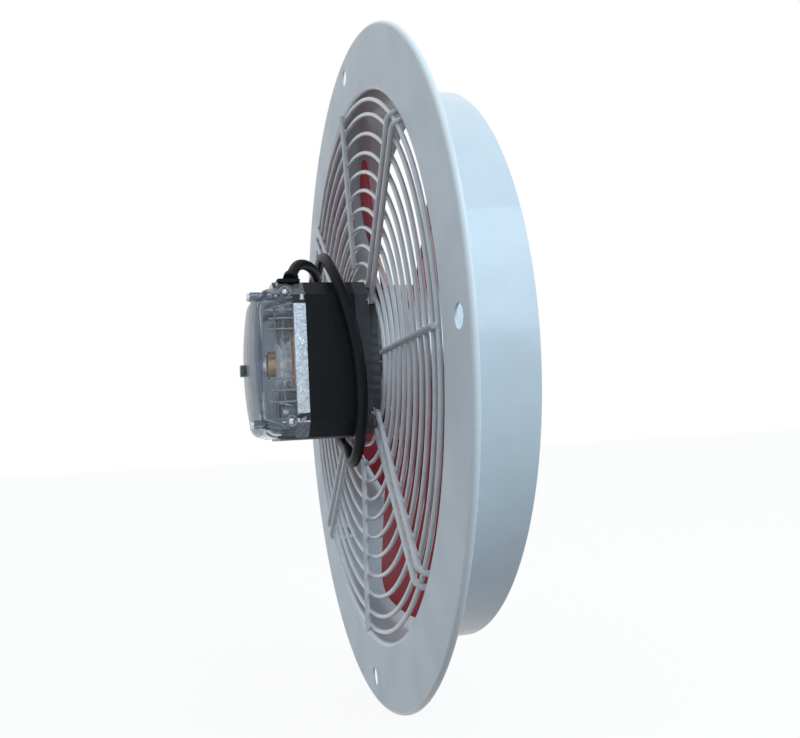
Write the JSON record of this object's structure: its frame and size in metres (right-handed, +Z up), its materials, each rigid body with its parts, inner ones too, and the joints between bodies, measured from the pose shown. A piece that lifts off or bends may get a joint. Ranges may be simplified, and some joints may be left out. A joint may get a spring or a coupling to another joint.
{
  "type": "roof vent fan",
  "caption": "Axial vent fan with a flanged wall ring, wire guard, square shaded-pole motor, pitched sheet blades and a supply lead.",
  "frame": {"origin": "centre of the flange's front face, the face on the motor's side, on the fan's axis", "axes": "+Y along the fan's axis towards the air collar and impeller, so the motor points to -Y; +Z up"},
  "size_m": [0.38, 0.1207, 0.38],
  "materials": {
    "ring_paint": "gloss off-white paint",
    "guard_paint": "gloss grey-white paint on wire",
    "stator_black": "black dipped lamination stack",
    "bobbin_plastic": "moulded plastic",
    "winding_wire": "lacquered copper wire",
    "copper": "plain copper",
    "cast_aluminium": "cast, satin",
    "bronze": "sintered, oiled",
    "white_felt": "felt",
    "clear_plastic": "clear grey moulded plastic, glossy",
    "smoked_plastic": "dark smoked moulded plastic",
    "grey_plastic": "moulded plastic with fine lines",
    "black_rubber": "moulded rubber",
    "black_paint": "black paint",
    "zinc_steel": "bright zinc plated",
    "strap_steel": "plated sheet, satin",
    "lead_sheath": "satin sheath",
    "core_insulation": "smooth insulation",
    "ferrule_metal": "tinned copper",
    "ground_steel": "ground",
    "lamination_steel": "machined laminations",
    "impeller_red": "deep red paint, satin",
    "hub_grey": "plated pressing, satin"
  },
  "bodies": {
    "root": {"wall_ring": "ring_paint", "guard_rings": "guard_paint", "guard_arms": "guard_paint", "guard_spokes": "guard_paint", "stator_stack": "stator_black", "coil_bobbins": "bobbin_plastic", "field_coils": "winding_wire", "shading_rings": "copper", "rear_end_shield": "cast_aluminium", "front_end_shield": "cast_aluminium", "rear_bearing": "bronze", "front_bearing": "bronze", "rear_oil_felt": "white_felt", "front_oil_felt": "white_felt", "rear_cover": "clear_plastic", "cover_plug": "grey_plastic", "front_cover": "smoked_plastic", "clamp_plates": "black_paint", "clamp_nuts": "zinc_steel", "through_bolts": "zinc_steel", "cover_screws": "zinc_steel", "cover_strap": "strap_steel", "cable_gland": "black_rubber", "supply_lead": "lead_sheath", "lead_cores": "core_insulation", "core_ferrules": "ferrule_metal"},
    "rotor": {"shaft": "ground_steel", "rotor_core": "lamination_steel", "rotor_end_rings": "cast_aluminium", "rotor_spacers": "bobbin_plastic", "thrust_washers": "bobbin_plastic", "retaining_rings": "ground_steel", "impeller_hub": "hub_grey", "hub_bush": "ground_steel", "grub_screw": "black_paint", "hub_rivets": "zinc_steel", "impeller_blades": "impeller_red"}
  },
  "joints": [
    {"name": "rotor_spin", "type": "hinge", "parent": "root", "child": "rotor", "pos_m": [0, 0, 0], "axis": [0, 1, 0], "continuous": true}
  ]
}
